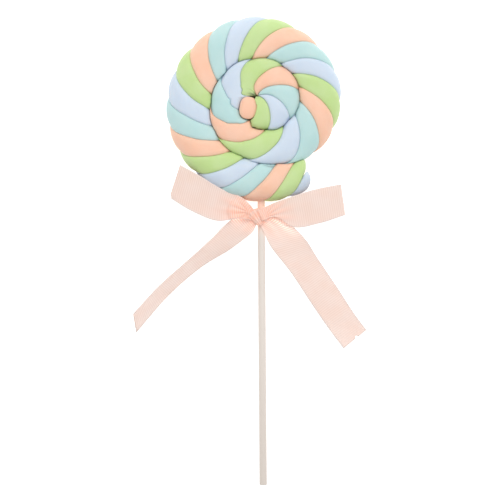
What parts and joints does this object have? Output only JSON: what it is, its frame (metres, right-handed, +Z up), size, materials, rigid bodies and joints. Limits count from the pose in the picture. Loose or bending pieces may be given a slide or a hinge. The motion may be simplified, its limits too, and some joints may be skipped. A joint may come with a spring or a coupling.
{
  "type": "marshmallow lollipop",
  "caption": "Marshmallow lollipop: pastel strands twisted into a rope and coiled into a flat swirl on a round stick, with a ribbon bow tied below it.",
  "frame": {"origin": "bottom centre of the whole part's box, on the surface that it lies on", "axes": "+Z up, out of the face of the swirl that is shown; +Y from the stick's free end towards the head; +X to the right as the swirl is looked at"},
  "size_m": [0.1194, 0.239, 0.022],
  "materials": {
    "marshmallow_lavender": "soft powdery marshmallow, pale lavender blue",
    "marshmallow_green": "soft powdery marshmallow, pale green",
    "marshmallow_peach": "soft powdery marshmallow, pale peach",
    "marshmallow_aqua": "soft powdery marshmallow, pale aqua",
    "white_stick": "smooth rolled white paper stick, satin",
    "peach_ribbon": "thin ribbed peach ribbon, slightly sheer"
  },
  "bodies": {
    "root": {"strand_lavender": "marshmallow_lavender", "strand_green": "marshmallow_green", "strand_peach": "marshmallow_peach", "strand_aqua": "marshmallow_aqua", "stick": "white_stick", "ribbon_bow": "peach_ribbon"}
  },
  "joints": []
}
